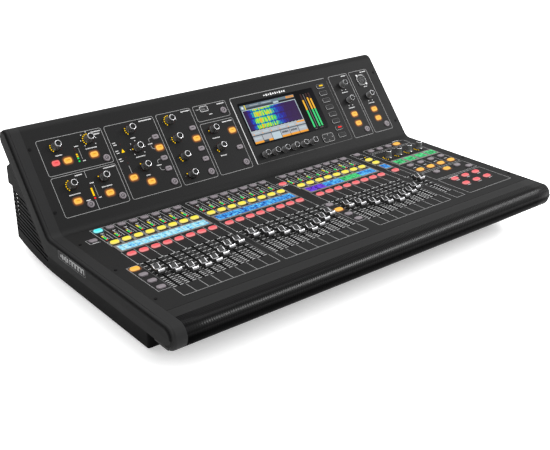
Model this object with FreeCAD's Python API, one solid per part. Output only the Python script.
import FreeCAD, Part
import math
import os

# Mixing console: a flat fader deck and a sloping control bridge on a low steel tray.
# Frame: +X to the operator's right, +Y towards the rear, +Z up, origin on the table
# at the middle of the footprint. Millimetres.

# ---------------------------------------------------------------- overall size
WIDTH = 891.0
DEPTH = 612.0
HEIGHT = 256.0

# ---------------------------------------------------------------- upper shell
CREASE_Y = 88.0            # line where deck and bridge meet
CREASE_Z = 95.5            # height of the deck's face
BRIDGE_ANGLE = 50.24       # slope of the bridge from horizontal, degrees
SHELL_DEPTH = 35.0         # depth of the deck and bridge shell
SHEET = 2.0                # panel thickness
SEAM = 0.15                # half of the gap between neighbouring covers
CREASE_RADIUS = 20.0
TOP_RADIUS = 16.5          # rounding at the top edge of the bridge
CHEEK = 8.0                # thickness of an end cheek
LEFT_FACE = 27.5           # width of the left cheek's upper face
ROUND_OVER = 6.0           # rounding along the cheeks' outer edges
SEAM_INSET = 1.6           # seam between a cheek and its rounded rim, from the outline
CHEEK_FRONT = 391.5        # front of the cheeks, forward of the crease
CHEEK_RADII = (17.5, 16.0)  # rounding of a cheek's front, upper and lower
ARMREST_BACK = 337.9       # seam between deck and armrest, forward of the crease
BACK_FOLD = 172.0          # where the bridge's back fold ends, along the slope

# ---------------------------------------------------------------- tray
TRAY_HALF = 425.5
TRAY_SHEET = 1.5
TRAY_FLOOR = -86.0         # from the deck's face
TRAY_FRONT = -300.0
SOCKET_FLANGE = 1.4        # thickness of a rear socket's flange
FOOT_HEIGHT = CREASE_Z + TRAY_FLOOR
SWEEP_START = 20.0         # where the tray's floor starts to sweep up
SWEEP_RADIUS = 591.0
SHELF = -46.8              # underside of the shelf that carries the armrest
REST_HEEL = -44.2          # underside of the palm rest
REST_BROW = 20.0           # radii of its front roll, upper and lower
REST_NOSE = 24.0
REST_SIDE = 4.0            # how far its left end stands back behind the cheek's face
TRAY_ROUND = 13.0          # rounding of the tray's front corners
LEDGE = 40.0               # height of the step in the rear corner
CAP_SHOULDER = FreeCAD.Vector(0, 194.0, 73.0)

# ---------------------------------------------------------------- controls
PITCH = 23.56              # channel strip pitch
STRIPS = 8
STRIP_GROUPS = (-371.6, -170.15, 46.4)
MAIN_X = 263.7
SELECT_V = 24.0
SOLO_V = 82.5
DISPLAY_V = 110.3
MUTE_V = 139.5
MAIN_SOLO_V = 61.4
SLOT_V = 231.6
FADER_TRAVEL = 100.0
LEVER = (1.2, 5.0)
SLOT = (2.4, FADER_TRAVEL + LEVER[1] + 1.6)
BUTTON = (16.0, 11.0)
BUTTON_RISE = 2.6
BUTTON_GAP = 0.3
BUTTON_TRAVEL = 1.2
SQUARE = (14.2, 9.8)
ROUND = 14.0
SOFT_KEY = (21.5, 10.5)
SHAFT = 3.0
SHAFT_HOLE = 3.6
BUSH_PLAY = 0.05
KNOB_HEIGHT = 16.0
BOARD_TOP = -12.4          # upper face of the control boards, from the panel face
BOARD = 1.6
ASSIGN_PITCH = 31.2
ASSIGN_X = 307.2

# Where each fader stands, forward of the crease
FADER_REST = (
    (222.5, 236.5, 250.0, 252.0, 249.5, 236.0, 221.0, 215.0),
    (209.0, 221.0, 235.0, 247.5, 255.0, 247.5, 234.5, 222.0),
    (217.5, 225.0, 238.5, 249.0, 256.5, 248.0, 242.0, 231.5),
)
MAIN_REST = 204.0

V = FreeCAD.Vector
BETA = math.radians(BRIDGE_ANGLE)
COS = math.cos(BETA)
SIN = math.sin(BETA)
HALF = WIDTH / 2
INNER = HALF - CHEEK
DECK_HALF = INNER - SEAM
PANEL_LEFT = LEFT_FACE - HALF + SEAM
FRONT = DEPTH / 2 + CREASE_Y          # front of the armrest, forward of the crease
REAR = DEPTH / 2 - CREASE_Y            # outer face of the rear sockets, behind the crease
PANEL_FACE = REAR - SOCKET_FLANGE
TRAY_REAR = PANEL_FACE - TRAY_SHEET
BRIDGE_LENGTH = TOP_RADIUS + (HEIGHT - CREASE_Z - TOP_RADIUS + TOP_RADIUS * COS) / SIN
CREASE_REACH = CREASE_RADIUS * math.tan(BETA / 2)

os.makedirs("parts", exist_ok=True)


# ---------------------------------------------------------------- helpers
def export(name, shapes):
    """Write one node: one solid or several separate ones."""
    solids = [s for shape in shapes for s in shape.Solids]
    Part.makeCompound(solids).exportStep(f"parts/{name}.step")
    print(f"{name:24s} {len(solids):3d} solids")


def box(x0, x1, y0, y1, z0, z1):
    return Part.makeBox(x1 - x0, y1 - y0, z1 - z0, V(x0, y0, z0))


def centred(x, y, width, length, z0, z1):
    return box(x - width / 2, x + width / 2, y - length / 2, y + length / 2, z0, z1)


def cylinder(radius, x, y, z0, z1):
    return Part.makeCylinder(radius, z1 - z0, V(x, y, z0))


def fused(shapes):
    first = shapes[0]
    return first.fuse(shapes[1:]).removeSplitter() if len(shapes) > 1 else first


def without(shape, tools):
    return shape.cut(Part.makeCompound(tools)) if tools else shape


def rounded_face(points, radii):
    """A flat face with straight sides and an arc of the given radius at each corner."""
    edges = []
    ends = []
    for i, point in enumerate(points):
        back = (points[i - 1] - point).normalize()
        ahead = (points[(i + 1) % len(points)] - point).normalize()
        radius = radii[i]
        if radius == 0:
            ends.append((point, point))
            continue
        half = back.getAngle(ahead) / 2
        reach = radius / math.tan(half)
        start = point + back * reach
        end = point + ahead * reach
        inward = (back + ahead).normalize()
        middle = point + inward * (radius / math.sin(half) - radius)
        edges.append(Part.Arc(start, middle, end).toShape())
        ends.append((start, end))
    for i, (_, leave) in enumerate(ends):
        arrive = ends[(i + 1) % len(ends)][0]
        if (arrive - leave).Length > 1e-6:
            edges.append(Part.makeLine(leave, arrive))
    return Part.Face(Part.Wire(Part.__sortEdges__(edges)))


def rounded_plate(x, y, width, length, radius, z0, z1):
    corners = [V(x - width / 2, y - length / 2, z0), V(x + width / 2, y - length / 2, z0),
               V(x + width / 2, y + length / 2, z0), V(x - width / 2, y + length / 2, z0)]
    return rounded_face(corners, [radius] * 4).extrude(V(0, 0, z1 - z0))


def on_deck(shape):
    """From the deck's own frame (origin on the crease, +Y rearwards) to the part's frame."""
    placed = shape.copy()
    placed.translate(V(0, CREASE_Y, CREASE_Z))
    return placed


def on_bridge(shape):
    """From the bridge's own frame (origin on the crease, +Y up the slope, +Z outwards)."""
    placed = shape.copy()
    placed.rotate(V(0, 0, 0), V(1, 0, 0), BRIDGE_ANGLE)
    placed.translate(V(0, CREASE_Y, CREASE_Z))
    return placed


def slope(t, depth):
    """Side-view point at t up the bridge and depth below its face."""
    return V(0, t * COS + depth * SIN, t * SIN - depth * COS)


def corner(depth):
    """Side-view point where the deck and bridge offset by depth meet."""
    return V(0, depth * math.tan(BETA / 2), -depth)


def band(shallow, deep, front, end, radii):
    """Side-view face of the shell between two depths, from the front to the top end."""
    points = [V(0, -front, -shallow), V(0, -front, -deep), corner(deep),
              slope(end, deep), slope(end, shallow), corner(shallow)]
    return rounded_face(points, radii)


def spread(face, x0, x1):
    """Extrude a side-view face across the width."""
    solid = face.extrude(V(x1 - x0, 0, 0))
    solid.translate(V(x0, 0, 0))
    return solid


def mirrored(shape):
    return shape.mirror(V(0, 0, 0), V(1, 0, 0))


# ---------------------------------------------------------------- control places
def strip_xs():
    return [left + PITCH * (i + 0.5) for left in STRIP_GROUPS for i in range(STRIPS)]


def fader_places():
    rests = [v for group in FADER_REST for v in group] + [MAIN_REST]
    return list(zip(strip_xs() + [MAIN_X], rests))


SELECT_PLACES = [(x, SELECT_V) for x in strip_xs() + [MAIN_X]]
SOLO_PLACES = [(x, SOLO_V) for x in strip_xs() + [MAIN_X]] + [(MAIN_X, MAIN_SOLO_V)]
MUTE_PLACES = [(x, MUTE_V) for x in strip_xs() + [MAIN_X]]
ASSIGN_XS = [ASSIGN_X + ASSIGN_PITCH * i for i in range(4)]
LAYER_VS = (191.5, 217.8, 244.1, 270.4)
DECK_PLACES = (
    [(-387.0, 55.6), (34.0, 54.3)]
    + [(-384.8, v) for v in LAYER_VS]
    + [(35.4, v) for v in LAYER_VS]
    + [(304.5 + 26.3 * i, 25.5) for i in range(4)]
    + [(x, v) for v in (139.5, 168.5) for x in ASSIGN_XS]
    + [(323.4 + 31.4 * i, 198.3) for i in range(3)] + [(402.0, 216.5)]
    + [(323.6 + 31.6 * i, v) for v in (247.4, 276.8) for i in range(3)]
)
ASSIGN_KNOBS = [(x, 76.0) for x in ASSIGN_XS]

SQUARE_PLACES = (
    [(-377.0, 130.0), (-353.4, 130.0), (-300.4, 130.0), (-365.2, 52.0), (-300.2, 52.0)]
    + [(-243.5, 68.0), (-211.7, 52.0)]
    + [(x, t) for x in (-167.5, -81.6) for t in (135.4, 112.9, 90.4, 68.0)]
    + [(4.6, 112.0), (4.6, 73.6)]
    + [(x, t) for x in (325.3, 386.0) for t in (80.8, 58.5)]
)
ROUND_PLACES = [(-280.0, 117.6), (-344.7, 40.0), (-279.5, 40.0), (-166.8, 40.0),
                (-81.3, 40.0), (3.9, 157.3), (4.7, 40.0), (340.3, 40.2), (401.4, 40.2)]
SOFT_KEY_PLACES = [(266.5, 161.0 - 16.95 * i) for i in range(8)]
PAD_PLACE = (227.0, 43.9)
PAD = (31.0, 19.5)

LONE_KNOBS = {
    "gain_knob": (-365.2, 160.6),
    "low_cut_knob": (-300.1, 160.6),
    "gate_knob": (-364.8, 83.0),
    "dynamics_knob": (-300.0, 83.0),
    "eq_gain_knob": (-211.7, 161.0),
    "eq_frequency_knob": (-211.7, 122.0),
    "eq_width_knob": (-211.7, 83.0),
    "main_pan_knob": (-37.4, 122.0),
    "main_level_knob": (-37.4, 83.0),
}
SEND_KNOBS = [(-123.8, t) for t in (161.0, 122.0, 83.0, 44.3)]
MONITOR_KNOBS = [(326.4, 152.8), (326.4, 114.4), (386.9, 114.6)]
SCREEN_KNOBS = [(54.6 + 25.44 * i, 43.8) for i in range(6)]
BRIDGE_KNOBS = list(LONE_KNOBS.values()) + SEND_KNOBS + MONITOR_KNOBS + SCREEN_KNOBS

GLASS = (41.4, 242.0, 66.8, 163.0)
USB_PLACE = (-38.4, 169.2)
USB = (14.0, 6.2)
TALK_PLACE = (386.8, 154.5)
XLR_BARREL = 10.8
XLR_HOLE = 11.1
XLR_DEPTH = 16.0
XLR_CONTACT_CIRCLE = 3.8

SCREW_HEAD = 2.8
SCREW_SHANK = 1.4
SCREW_HOLE = 1.7
SCREW_LENGTH = 5.4
DECK_SCREWS = [(-411.0, v) for v in (55.0, 175.5, 297.0)] + [(431.6, v) for v in (55.0, 175.5, 297.0)]
BRIDGE_SCREWS = [(-413.5, 165.6), (-413.5, 42.0), (431.6, 165.6), (431.6, 42.0)]
REAR_SCREWS = [(x, z) for x in (-396.0, 396.0) for z in (-40.8, 4.0, 47.8)]


# ---------------------------------------------------------------- covers
def deck_panel():
    plate = box(PANEL_LEFT, DECK_HALF, -ARMREST_BACK + SEAM, -CREASE_REACH - SEAM, -SHEET, 0)
    tools = []
    for x, v in SELECT_PLACES + SOLO_PLACES + MUTE_PLACES + DECK_PLACES:
        tools.append(oval(x, -v, BUTTON[0] + 2 * BUTTON_GAP, BUTTON[1] + 2 * BUTTON_GAP, -SHEET - 1, 1))
    for x, _ in fader_places():
        tools.append(centred(x, -SLOT_V, SLOT[0], SLOT[1], -SHEET - 1, 1))
    for x0, x1 in display_spans():
        tools.append(box(x0 + 3, x1 - 3, -DISPLAY_V - 11, -DISPLAY_V + 11, -SHEET - 1, 1))
    for x, v in ASSIGN_KNOBS:
        tools.append(cylinder(SHAFT_HOLE, x, -v, -SHEET - 1, 1))
    for x, v in DECK_SCREWS:
        tools.append(cylinder(SCREW_HOLE, x, -v, -SHEET - 1, 1))
    return on_deck(without(plate, tools))


def oval(x, y, width, length, z0, z1):
    return rounded_plate(x, y, width, length, length * 0.42, z0, z1)


def display_spans():
    spans = [(left, left + PITCH * STRIPS) for left in STRIP_GROUPS]
    spans.append((MAIN_X - PITCH / 2, MAIN_X + PITCH / 2))
    spans.append((ASSIGN_XS[0] - ASSIGN_PITCH / 2, ASSIGN_XS[-1] + ASSIGN_PITCH / 2))
    return spans


def folded_sheet(x0, x1):
    """One folded sheet: crease arc, sloping face, top end and back fold."""
    def outline(depth):
        radius = TOP_RADIUS - depth
        crease = CREASE_RADIUS + depth
        reach = CREASE_REACH
        angle = BETA / 2
        centre = V(0, -reach, CREASE_RADIUS)
        start = V(0, -reach, -depth)
        middle = centre + V(0, math.sin(angle), -math.cos(angle)) * crease
        end = slope(reach, depth)
        top = slope(BRIDGE_LENGTH - TOP_RADIUS, depth)
        hub = slope(BRIDGE_LENGTH - TOP_RADIUS, TOP_RADIUS)
        top_end = slope(BRIDGE_LENGTH - depth, TOP_RADIUS)
        up = V(0, COS, SIN)
        out = V(0, -SIN, COS)
        top_middle = hub + (up + out).normalize() * radius
        low_hub = slope(BRIDGE_LENGTH - TOP_RADIUS, SHELL_DEPTH - TOP_RADIUS)
        low_start = slope(BRIDGE_LENGTH - depth, SHELL_DEPTH - TOP_RADIUS)
        low_middle = low_hub + (up - out).normalize() * radius
        low_end = slope(BRIDGE_LENGTH - TOP_RADIUS, SHELL_DEPTH - depth)
        tail = slope(BACK_FOLD, SHELL_DEPTH - depth)
        return [Part.Arc(start, middle, end).toShape(), Part.makeLine(end, top),
                Part.Arc(top, top_middle, top_end).toShape(), Part.makeLine(top_end, low_start),
                Part.Arc(low_start, low_middle, low_end).toShape(), Part.makeLine(low_end, tail)]

    outer = outline(0)
    inner = outline(SHEET)
    ends = [Part.makeLine(outer[0].firstVertex().Point, inner[0].firstVertex().Point),
            Part.makeLine(outer[-1].lastVertex().Point, inner[-1].lastVertex().Point)]
    face = Part.Face(Part.Wire(Part.__sortEdges__(outer + inner + ends)))
    return spread(face, x0, x1)


def bridge_panel():
    """The folded sheet with its openings."""
    sheet = on_deck(folded_sheet(PANEL_LEFT, DECK_HALF))
    tools = []
    for x, t in SQUARE_PLACES:
        tools.append(rounded_plate(x, t, SQUARE[0] + 2 * BUTTON_GAP, SQUARE[1] + 2 * BUTTON_GAP,
                                   2.8, -SHEET - 1, 1))
    for x, t in ROUND_PLACES:
        tools.append(cylinder(ROUND / 2 + BUTTON_GAP, x, t, -SHEET - 1, 1))
    for x, t in SOFT_KEY_PLACES:
        tools.append(rounded_plate(x, t, SOFT_KEY[0] + 2 * BUTTON_GAP, SOFT_KEY[1] + 2 * BUTTON_GAP,
                                   2.5, -SHEET - 1, 1))
    tools.append(rounded_plate(PAD_PLACE[0], PAD_PLACE[1], PAD[0] + 2 * BUTTON_GAP, PAD[1] + 2 * BUTTON_GAP,
                               5.0, -SHEET - 1, 1))
    for x, t in BRIDGE_KNOBS:
        tools.append(cylinder(SHAFT_HOLE, x, t, -SHEET - 1, 1))
    for x, t in BRIDGE_SCREWS:
        tools.append(cylinder(SCREW_HOLE, x, t, -SHEET - 1, 1))
    tools.append(box(GLASS[0] + 4, GLASS[1] - 4, GLASS[2] + 4, GLASS[3] - 4, -SHEET - 1, 1))
    tools.append(centred(USB_PLACE[0], USB_PLACE[1], USB[0] + 0.6, USB[1] + 0.6, -SHEET - 1, 1))
    tools.append(cylinder(XLR_HOLE, TALK_PLACE[0], TALK_PLACE[1], -SHEET - 1, 1))
    return without(sheet, [on_bridge(t) for t in tools])


def cheek():
    """End cheek: side plate with a rounded outer edge, a seam round it, a step in its face and two inner ledges."""
    ledge_front = ARMREST_BACK - 2
    step = 18.0
    upper = spread(band(0, step + 1, CHEEK_FRONT, BRIDGE_LENGTH,
                        (CHEEK_RADII[0], 0, 30, 0, TOP_RADIUS, CREASE_RADIUS)), INNER, HALF)
    rim = [e for e in upper.Edges
           if all(abs(v.X - HALF) < 1e-6 for v in e.Vertexes) and is_upper(e, step)]
    upper = upper.makeFillet(ROUND_OVER, rim)
    lower = spread(band(step, SHELL_DEPTH, CHEEK_FRONT - 0.6, BRIDGE_LENGTH - 0.6,
                        (0, CHEEK_RADII[1], 38, TOP_RADIUS, 0, 28)), INNER, HALF - 1.2)
    outline = band(0, SHELL_DEPTH, CHEEK_FRONT, BRIDGE_LENGTH,
                   (CHEEK_RADII[0], CHEEK_RADII[1], 38, TOP_RADIUS, TOP_RADIUS, CREASE_RADIUS))
    ring = outline.makeOffset2D(-SEAM_INSET).cut(outline.makeOffset2D(-SEAM_INSET - 1))
    seam = without(spread(ring, HALF - 2.6, HALF + 1),
                   [box(0, WIDTH, CHEEK_RADII[0] - CHEEK_FRONT, DEPTH, -2 * SHELL_DEPTH, -step)])
    ledge = spread(band(SHEET + 0.1, SHEET + 2.6, ledge_front, BACK_FOLD - 4, (0, 0, 24, 0, 0, 23)),
                   TRAY_HALF + SEAM, INNER + 1)
    floor = spread(band(SHELL_DEPTH - 3, SHELL_DEPTH, ledge_front, BACK_FOLD - 4, (0, 0, 38, 0, 0, 36)),
                   TRAY_HALF + SEAM, INNER + 1)
    return without(fused([upper, lower, ledge, floor]), [seam])


def is_upper(edge, depth):
    """True for an outer rim edge that isn't on the line at the given depth."""
    middle = edge.valueAt((edge.FirstParameter + edge.LastParameter) / 2)
    on_deck_line = abs(middle.z + depth + 1) < 0.5 and middle.y < 0
    on_slope_line = abs(middle.y * SIN - middle.z * COS - depth - 1) < 0.5
    near_corner = (middle - V(HALF, 0, 0) - corner(depth + 1)).Length < 12
    return not (on_deck_line or on_slope_line or near_corner)


def screw_holes(places, side):
    return [cylinder(SCREW_HOLE, x, y, -12, 1) for x, y in places if x * side > 0]


def rest_face(back):
    """Side-view face of the palm rest: a flat band that rolls over the front edge."""
    corners = [V(0, back, 0), V(0, -FRONT, 0), V(0, -FRONT, REST_HEEL), V(0, back, REST_HEEL)]
    return rounded_face(corners, [0, REST_BROW, REST_NOSE, 0])


def armrest():
    """Palm rest between the cheeks."""
    return on_deck(spread(rest_face(-ARMREST_BACK - SEAM), PANEL_LEFT, DECK_HALF))


def rest_end():
    """Closed end of the palm rest that belongs to the left cheek, with its outer rim rounded."""
    side = REST_SIDE - HALF
    end = spread(rest_face(-ARMREST_BACK - SEAM), side, LEFT_FACE - HALF)
    rim = [e for e in end.Edges if all(abs(v.X - side) < 1e-6 for v in e.Vertexes) and e.CenterOfMass.y < -345]
    return end.makeFillet(ROUND_OVER, rim)


def left_cheek():
    """End cheek whose upper face is wide and whose front end closes the palm rest."""
    face_end = LEFT_FACE - HALF
    deck_strip = box(0.5 - INNER, face_end, -ARMREST_BACK - 1, -CREASE_REACH, -SHEET, 0)
    bridge_strip = folded_sheet(0.5 - INNER, face_end)
    return on_deck(fused([mirrored(cheek()), deck_strip, bridge_strip, rest_end()]))


def right_cheek():
    holes = [on_deck(h) for h in screw_holes([(x, -v) for x, v in DECK_SCREWS], 1)]
    holes += [on_bridge(h) for h in screw_holes(BRIDGE_SCREWS, 1)]
    return without(on_deck(cheek()), holes)


# ---------------------------------------------------------------- tray and rear
def sweep_height(y, lift):
    return TRAY_FLOOR + lift + SWEEP_RADIUS - math.sqrt(SWEEP_RADIUS ** 2 - (y - SWEEP_START) ** 2)


def tray_face(inset, opened):
    """Side-view outline of the tray; opened carries it on through the top of the shell."""
    rear = TRAY_REAR - inset
    crown = slope(BACK_FOLD - 1, SHELL_DEPTH)
    fall = (crown.z - CAP_SHOULDER.z) / (crown.y - CAP_SHOULDER.y)
    lift = -inset * math.hypot(1, fall)
    cap_in = crown + V(0, 0, lift)
    cap_out = V(0, rear, CAP_SHOULDER.z + fall * (rear - CAP_SHOULDER.y) + lift)
    shell_top = -opened if opened else SHEET + 0.1
    end = BACK_FOLD + opened * 0.3 - 1
    throat = [slope(end, SHELL_DEPTH - 1)] if opened else []
    floor_front = V(0, TRAY_FRONT + inset, TRAY_FLOOR + inset)
    floor_back = V(0, SWEEP_START, TRAY_FLOOR + inset)
    floor_end = V(0, rear, sweep_height(rear, inset))
    middle_y = (SWEEP_START + rear) / 2
    sweep = Part.Arc(floor_back, V(0, middle_y, sweep_height(middle_y, inset)), floor_end)
    lip = -ARMREST_BACK + 0.4 + inset
    trail = [floor_end, cap_out, cap_in] + throat + [
        slope(end, shell_top), corner(shell_top), V(0, lip, -shell_top), V(0, lip, SHELF + inset),
        V(0, TRAY_FRONT + inset, SHELF + inset), floor_front, floor_back]
    edges = [sweep.toShape()] + [Part.makeLine(a, b) for a, b in zip(trail, trail[1:])]
    return Part.Face(Part.Wire(Part.__sortEdges__(edges)))


def beyond_corner(inset, z_split):
    """The space outside the chamfered rear corner on the right, lower part then upper part."""
    lower = V(TRAY_HALF, 178.0, 0)
    along = (V(405.0, 216.0, 0) - lower).normalize()
    out = V(along.y, -along.x, 0)
    slabs = []
    for start, z0, z1 in ((lower, -200, z_split), (V(TRAY_HALF, 194.0, 0), z_split, 200)):
        base = start - out * inset
        points = [base - along * 60, base + along * 90, base + along * 90 + out * 90, base - along * 60 + out * 90]
        slabs.append(Part.Face(Part.makePolygon([V(p.x, p.y, z0) for p in points + points[:1]])).extrude(
            V(0, 0, z1 - z0)))
    return slabs


def round_front(solid, inset):
    """Round the tray's upright front corners and the fold along its front."""
    front = TRAY_FRONT + inset
    edges = [e for e in solid.Edges if all(abs(v.Y - front) < 1e-6 for v in e.Vertexes)
             and e.CenterOfMass.z < SHELF + inset - 1]
    return solid.makeFillet(TRAY_ROUND - inset, edges)


def base_tray():
    outer = spread(tray_face(0, 0), -TRAY_HALF, TRAY_HALF)
    inner = spread(tray_face(TRAY_SHEET, 30), TRAY_SHEET - TRAY_HALF, TRAY_HALF - TRAY_SHEET)
    outer_cuts = beyond_corner(0, LEDGE)
    inner_cuts = beyond_corner(TRAY_SHEET, LEDGE + TRAY_SHEET)
    outer = without(round_front(outer, 0), outer_cuts + [mirrored(s) for s in outer_cuts])
    inner = without(round_front(inner, TRAY_SHEET), inner_cuts + [mirrored(s) for s in inner_cuts])
    shelf = box(-DECK_HALF, DECK_HALF, -369.0, -ARMREST_BACK + 2, SHELF, SHELF + TRAY_SHEET)
    tray = without(outer, [inner])
    window = box(-392, 392, TRAY_REAR - 6, TRAY_REAR + 6, -44, 50)
    vents = []
    for i in range(10):
        vent = box(TRAY_HALF - 40, TRAY_HALF + 5, -128, 37, -1.7, 1.7)
        vent.rotate(V(0, 0, 0), V(1, 0, 0), 11.6)
        vent.translate(V(0, 178.0, 31.0 - 8.2 * i))
        nick = box(401.5, TRAY_HALF, 30, 50, -1.7, 1.7)
        nick.rotate(V(0, 0, 0), V(1, 0, 0), 11.6)
        nick.translate(V(0, 178.0, 31.0 - 8.2 * i))
        vents += [vent, nick, mirrored(vent), mirrored(nick)]
    tray = without(tray, [window] + vents)
    flange_x = (-TRAY_HALF + TRAY_SHEET - 0.5, -400.0)
    flange_z = (-SHEET - 0.1 - TRAY_SHEET, -SHEET - 0.1)
    low_flange = box(*flange_x, -ARMREST_BACK + 6, -14, *flange_z)
    high_flange = box(*flange_x, 16, BACK_FOLD - 12, *flange_z)
    high_flange.rotate(V(0, 0, 0), V(1, 0, 0), BRIDGE_ANGLE)
    tray = on_deck(fused([tray, shelf, low_flange, high_flange]))
    holes = [on_deck(h) for h in screw_holes([(x, -v) for x, v in DECK_SCREWS], -1)]
    holes += [on_bridge(h) for h in screw_holes(BRIDGE_SCREWS, -1)]
    holes += [on_deck(rear_cylinder(SCREW_HOLE, x, z, TRAY_REAR - 6, TRAY_REAR + 1)) for x, z in REAR_SCREWS]
    return without(tray, holes)


# Rear connectors, from the left end of the rear panel as seen from the front. Their square
# flanges stand edge to edge in two rows between three rails.
XLR_PITCH = 25.4
XLR_START = -380.0
XLR_INPUTS = 16            # columns of input sockets, then columns of output sockets
XLR_OUTPUTS = 8
ROWS = (26.5, -18.5)
TILE_HEIGHT = 28.0
TILE_GAP = 0.1
TILE_SEAT = -1.3           # back of a flange, from the rails' face
JACK_XS = (228.0, 250.0, 272.0, 294.0)
JACK_TILE = 22.0
DATA_XS = (317.0, 340.5)
DATA_TILE = 23.5
INLET = (372.2, ROWS[0])
SWITCH = (372.2, ROWS[1])
POWER_TILE = 39.6
RAILS = ((-49.0, -32.7), (-4.3, 12.3), (40.7, 55.0))


def xlr_places():
    return [(XLR_START + XLR_PITCH * i, z) for z in ROWS for i in range(XLR_INPUTS + XLR_OUTPUTS)]


def rear_cylinder(radius, x, z, y0, y1):
    return Part.makeCylinder(radius, y1 - y0, V(x, y0, z), V(0, 1, 0))


def rear_box(x, z, width, height, y0, y1):
    return box(x - width / 2, x + width / 2, y0, y1, z - height / 2, z + height / 2)


def rear_panel():
    """Three steel rails across the tray's rear window, held at their ends."""
    rails = []
    for z0, z1 in RAILS:
        rail = box(-400, 400, TRAY_REAR, PANEL_FACE, z0, z1)
        holes = [rear_cylinder(SCREW_HOLE, x, z, TRAY_REAR - 1, PANEL_FACE + 1) for x, z in REAR_SCREWS]
        rails.append(on_deck(without(rail, holes)))
    return rails


def tile(x, z, width):
    """A socket's flange in its row on the rear."""
    return rear_box(x, z, width - TILE_GAP, TILE_HEIGHT, PANEL_FACE + TILE_SEAT, REAR)


def xlr_contacts():
    angles = [math.radians(d) for d in (30, 150, 270)]
    return [(XLR_CONTACT_CIRCLE * math.cos(a), XLR_CONTACT_CIRCLE * math.sin(a)) for a in angles]


def xlr_blank(flange):
    return fused([flange, cylinder(XLR_BARREL, 0, 0, -XLR_DEPTH, 0.5)])


def xlr_output(flange):
    """One three-pin output socket: a hollow shell round its pins, axis on +Z, face at the flange."""
    shell = without(xlr_blank(flange), [cylinder(9.4, 0, 0, -11, 3)])
    return fused([shell] + [cylinder(1.2, x, y, -11.5, -5.4) for x, y in xlr_contacts()])


def xlr_input(flange):
    """One three-hole input socket: a ring slot for the plug's shell and three contact holes."""
    ring = cylinder(9.0, 0, 0, -3, 3).cut(cylinder(7.8, 0, 0, -4, 4))
    return without(xlr_blank(flange), [ring] + [cylinder(1.3, x, y, -6, 3) for x, y in xlr_contacts()])


def xlr_sockets():
    rear_flange = centred(0, 0, XLR_PITCH - TILE_GAP, TILE_HEIGHT, TILE_SEAT, SOCKET_FLANGE)
    kinds = [xlr_input(rear_flange)] * XLR_INPUTS + [xlr_output(rear_flange)] * XLR_OUTPUTS
    sockets = []
    for (x, z), kind in zip(xlr_places(), kinds * 2):
        socket = kind.copy()
        socket.rotate(V(0, 0, 0), V(1, 0, 0), -90)
        socket.translate(V(x, PANEL_FACE, z))
        sockets.append(on_deck(socket))
    talk = xlr_input(rounded_plate(0, 0, 24.4, TILE_HEIGHT, 3, 0, SOCKET_FLANGE))
    sockets.append(on_bridge(talk.translated(V(TALK_PLACE[0], TALK_PLACE[1], 0))))
    return sockets


def jacks_and_ports():
    ports = []
    for z in ROWS:
        for x in JACK_XS:
            jack = fused([tile(x, z, JACK_TILE), rear_cylinder(5.6, x, z, PANEL_FACE - 14, PANEL_FACE)])
            ports.append(without(jack, [rear_cylinder(3.2, x, z, PANEL_FACE - 13, REAR + 1)]))
        for x in DATA_XS:
            body = fused([tile(x, z, DATA_TILE), rear_box(x, z, 16.4, 14.4, PANEL_FACE - 16, PANEL_FACE)])
            ports.append(without(body, [rear_box(x, z, 12.0, 9.0, PANEL_FACE - 13, REAR + 1)]))
    x, z = INLET
    body = fused([tile(x, z, POWER_TILE), rear_box(x, z, 28.4, 20.4, PANEL_FACE - 20, PANEL_FACE)])
    body = without(body, [rear_box(x, z, 24.4, 16.4, PANEL_FACE - 16, REAR + 1)])
    blades = [rear_box(x + dx, z + dz, 2.0, 4.0, PANEL_FACE - 17, PANEL_FACE - 9)
              for dx, dz in ((-7.0, -2.0), (0.0, 2.0), (7.0, -2.0))]
    ports.append(fused([body] + blades))
    x, z = SWITCH
    frame = fused([tile(x, z, POWER_TILE), rear_box(x, z, 19.4, 26.4, PANEL_FACE - 16, PANEL_FACE)])
    ports.append(without(frame, [rear_box(x, z, 15.0, 21.6, PANEL_FACE - 13, REAR + 1)]))
    x, t = USB_PLACE
    port = centred(x, t, USB[0], USB[1], -11.0, 0.4)
    port = without(port, [centred(x, t, USB[0] - 1.2, USB[1] - 1.2, -2.0, 2)])
    return [on_deck(p) for p in ports] + [on_bridge(port)]


def power_switch():
    """Rocker that tips about a pin along X; it stands tipped to its on side."""
    x, z = SWITCH
    face = PANEL_FACE
    pivot_y = face - 6
    outline = [V(0, face + 0.2, 9.0), V(0, face - 1.2, 0), V(0, face + 0.2, -9.0),
               V(0, face - 5.0, -9.3), V(0, pivot_y - 4, -3.0), V(0, pivot_y - 4, 3.0),
               V(0, face - 5.0, 9.3)]
    face_shape = Part.Face(Part.makePolygon(outline + outline[:1]))
    rocker = spread(face_shape, x - 7.0, x + 7.0)
    rocker.translate(V(0, 0, z))
    rocker.rotate(V(x, pivot_y, z), V(1, 0, 0), 7.0)
    return on_deck(rocker)


# ---------------------------------------------------------------- screws and feet
def screw(x, y):
    return fused([cylinder(SCREW_HEAD, x, y, 0, 0.9), cylinder(SCREW_SHANK, x, y, -SCREW_LENGTH, 0.1)])


def panel_screws():
    screws = [on_deck(screw(x, -v)) for x, v in DECK_SCREWS]
    screws += [on_bridge(screw(x, t)) for x, t in BRIDGE_SCREWS]
    for x, z in REAR_SCREWS:
        head = rear_cylinder(SCREW_HEAD, x, z, PANEL_FACE, PANEL_FACE + 0.9)
        shank = rear_cylinder(SCREW_SHANK, x, z, PANEL_FACE - SCREW_LENGTH, PANEL_FACE + 0.1)
        screws.append(on_deck(fused([head, shank])))
    return screws


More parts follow.
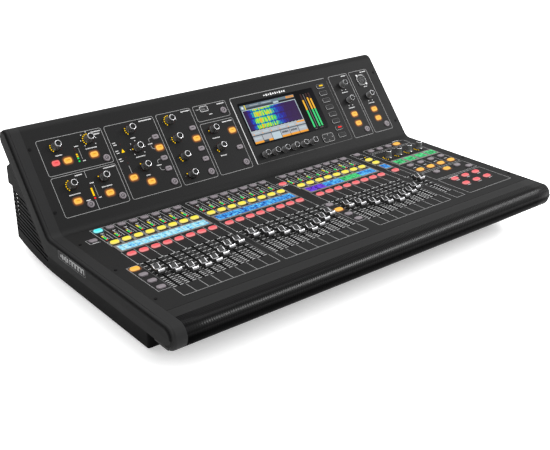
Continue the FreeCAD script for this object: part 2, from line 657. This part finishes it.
def rubber_feet():
    feet = []
    for x in (-372.0, 372.0):
        for y in (-262.0, 2.0):
            foot = Part.makeCone(13.0, 15.5, FOOT_HEIGHT, V(x, y + CREASE_Y, 0))
            feet.append(without(foot, [cylinder(5.0, x, y + CREASE_Y, -1, 3.0)]))
    return feet


# ---------------------------------------------------------------- buttons and knobs
def key(cap, width, length, place):
    """A cap through the panel with a flange that keeps it in and a stem above its switch."""
    x, y = place
    flange = centred(x, y, width + 2.4, length + 2.4, -SHEET - 1.4, -SHEET - 0.2)
    stem = centred(x, y, 4.0, 4.0, BOARD_TOP + BUTTON_TRAVEL + 0.3, -SHEET - 1.2)
    return fused([cap, flange, stem])


def oval_key(x, v):
    cap = oval(x, -v, BUTTON[0], BUTTON[1], -SHEET - 1, BUTTON_RISE)
    rim = [e for e in cap.Edges if abs(e.CenterOfMass.z - BUTTON_RISE) < 1e-6]
    return key(cap.makeFillet(1.6, rim), BUTTON[0], BUTTON[1], (x, -v))


def deck_bank(places):
    one = oval_key(0, 0)
    return [on_deck(one.translated(V(x, -v, 0))) for x, v in places]


def bridge_buttons():
    square = rounded_plate(0, 0, SQUARE[0], SQUARE[1], 2.6, -SHEET - 1, 2.2)
    disc = cylinder(ROUND / 2, 0, 0, -SHEET - 1, 2.4)
    soft = rounded_plate(0, 0, SOFT_KEY[0], SOFT_KEY[1], 2.3, -SHEET - 1, 1.2)
    pad = rounded_plate(0, 0, PAD[0], PAD[1], 4.8, -SHEET - 1, 1.6)
    kinds = ((square, SQUARE[0], SQUARE[1], SQUARE_PLACES), (disc, ROUND, ROUND, ROUND_PLACES),
             (soft, SOFT_KEY[0], SOFT_KEY[1], SOFT_KEY_PLACES), (pad, PAD[0], PAD[1], [PAD_PLACE]))
    keys = []
    for cap, width, length, places in kinds:
        top = max(v.Z for v in cap.Vertexes)
        rim = [e for e in cap.Edges if abs(e.CenterOfMass.z - top) < 1e-6]
        one = key(cap.makeFillet(0.8, rim), width, length, (0, 0))
        keys += [on_bridge(one.translated(V(x, t, 0))) for x, t in places]
    return keys


def knob(skirt, body):
    """A rotary knob on its shaft: flared skirt, waisted body, shaft down to its encoder."""
    lift = 0.6
    outline = [V(0, 0, BOARD_TOP + 1.2), V(SHAFT, 0, BOARD_TOP + 1.2), V(SHAFT, 0, lift), V(skirt, 0, lift),
               V(skirt, 0, lift + 1.4), V(body + 0.5, 0, 5.2), V(body, 0, KNOB_HEIGHT - 0.8),
               V(body - 0.8, 0, KNOB_HEIGHT), V(0, 0, KNOB_HEIGHT)]
    face = Part.Face(Part.makePolygon(outline + outline[:1]))
    return face.revolve(V(0, 0, 0), V(0, 0, 1), 360)


def knob_set(places, skirt=9.3, body=6.6):
    one = knob(skirt, body)
    return [one.translated(V(x, y, 0)) for x, y in places]


def fader_cap(x, v):
    """Saddle-shaped cap with a lever that goes down through the deck's slot."""
    length = 24.0
    width = 12.6
    half = length / 2
    profile = [(-half, 0.8), (-half + 1.2, 10.2), (-half + 3.0, 11.4), (-half + 5.2, 10.6), (-3.4, 7.6),
               (0, 6.9), (3.4, 7.6), (half - 5.0, 10.9), (half - 2.6, 12.0), (half - 0.8, 11.0), (half, 0.8)]
    points = [V(0, y, z) for y, z in profile]
    body = spread(Part.Face(Part.makePolygon(points + points[:1])), -width / 2, width / 2)
    lever = centred(0, 0, LEVER[0], LEVER[1], -20.0, 2.0)
    cap = fused([body, lever])
    return on_deck(cap.translated(V(x, -v, 0)))


# ---------------------------------------------------------------- displays
def display_screen():
    x0, x1, t0, t1 = GLASS
    glass = rounded_plate((x0 + x1) / 2, (t0 + t1) / 2, x1 - x0, t1 - t0, 3, 0, 0.9)
    module = box(x0 + 4.5, x1 - 4.5, t0 + 4.5, t1 - 4.5, -11.5, 0.1)
    return on_bridge(fused([glass, module]))


def scribble_strips():
    strips = []
    for x0, x1 in display_spans():
        frame = rounded_plate((x0 + x1) / 2, -DISPLAY_V, x1 - x0 - 0.6, 28.6, 2, 0, 1.0)
        body = box(x0 + 3.5, x1 - 3.5, -DISPLAY_V - 10.5, -DISPLAY_V + 10.5, -9.0, 0.1)
        strips.append(on_deck(fused([frame, body])))
    return strips


# ---------------------------------------------------------------- inside
def fader_mechanisms():
    """Motor faders hung under the deck: a box with a slot for the lever and a motor at its rear."""
    one = centred(0, -SLOT_V, 19.0, 132.0, -34.0, -SHEET - 0.2)
    one = without(one, [centred(0, -SLOT_V, 3.0, SLOT[1] + 2, -26.0, 0)])
    motor = Part.makeCylinder(8.5, 22.0, V(0, -SLOT_V - 50, -46.0), V(0, 1, 0))
    web = centred(0, -SLOT_V - 39, 10.0, 20.0, -40.0, -33.0)
    one = fused([one, web, motor])
    return [on_deck(one.translated(V(x, 0, 0))) for x, _ in fader_places()]


def encoder_bodies(places):
    bodies = []
    for x, y in places:
        body = centred(x, y, 12.0, 12.0, BOARD_TOP - 0.2, -SHEET - 1.2)
        bodies.append(without(body, [cylinder(SHAFT + BUSH_PLAY, x, y, BOARD_TOP + 0.4, 0)]))
    return bodies


def surface_boards():
    """Control boards under the deck and behind the bridge, with encoder bodies on them."""
    deck = box(-396, 420, -154, -12, BOARD_TOP - BOARD, BOARD_TOP)
    right = box(286, 420, -300, -153, BOARD_TOP - BOARD, BOARD_TOP)
    deck = fused([deck, right] + encoder_bodies([(x, -v) for x, v in ASSIGN_KNOBS]))
    layers = [box(x - 11, x + 11, -300, -156, BOARD_TOP - BOARD, BOARD_TOP) for x in (-386.5, 35.4)]
    deck = fused([deck] + [box(x - 4, x + 4, -158, -150, BOARD_TOP - BOARD, BOARD_TOP) for x in (-386.5, 35.4)]
                 + layers)
    bridge = box(-396, 420, 26, 178, BOARD_TOP - BOARD, BOARD_TOP)
    bridge = without(bridge, [cylinder(14, TALK_PLACE[0], TALK_PLACE[1], -20, -5)])
    bridge = fused([bridge] + encoder_bodies(BRIDGE_KNOBS))
    return [on_deck(deck), on_bridge(bridge)]


def main_board():
    board = box(-380, 190, -270, 20, -78.0, -76.4)
    chips = [centred(-300 + 90 * i, -150 + 60 * (i % 2), 30, 30, -76.5, -72.5) for i in range(6)]
    posts = [cylinder(3, x, y, TRAY_FLOOR + TRAY_SHEET, -77.9) for x in (-370, -95, 180) for y in (-260, 10)]
    return on_deck(fused([board] + chips + posts))


def power_supply():
    case = box(226, 386, -250, -90, TRAY_FLOOR + TRAY_SHEET, -52.0)
    vents = [box(240 + 12 * i, 244 + 12 * i, -240, -100, -53.0, -50.0) for i in range(12)]
    return on_deck(without(case, vents))


# ---------------------------------------------------------------- build
export("base_tray", [base_tray()])
export("rear_panel", rear_panel())
export("deck_panel", [deck_panel()])
export("bridge_panel", [bridge_panel()])
export("left_cheek", [left_cheek()])
export("right_cheek", [right_cheek()])
export("armrest", [armrest()])
export("rubber_feet", rubber_feet())
export("panel_screws", panel_screws())
export("display_screen", [display_screen()])
export("scribble_strips", scribble_strips())
export("xlr_sockets", xlr_sockets())
export("jacks_and_ports", jacks_and_ports())
export("power_switch", [power_switch()])
export("fader_mechanisms", fader_mechanisms())
export("surface_boards", surface_boards())
export("main_board", [main_board()])
export("power_supply", [power_supply()])
export("select_buttons", deck_bank(SELECT_PLACES))
export("solo_buttons", deck_bank(SOLO_PLACES))
export("mute_buttons", deck_bank(MUTE_PLACES))
export("deck_buttons", deck_bank(DECK_PLACES))
export("bridge_buttons", bridge_buttons())
for node, place in LONE_KNOBS.items():
    export(node, [on_bridge(k) for k in knob_set([place])])
export("bus_and_monitor_knobs", [on_bridge(k) for k in knob_set(SEND_KNOBS + MONITOR_KNOBS)])
export("display_encoders", [on_bridge(k) for k in knob_set(SCREEN_KNOBS, 7.6, 6.4)])
export("assign_encoders", [on_deck(k) for k in knob_set([(x, -v) for x, v in ASSIGN_KNOBS])])
for number, (x, v) in enumerate(fader_places(), start=1):
    export(f"fader_cap_{number:02d}", [fader_cap(x, v)])
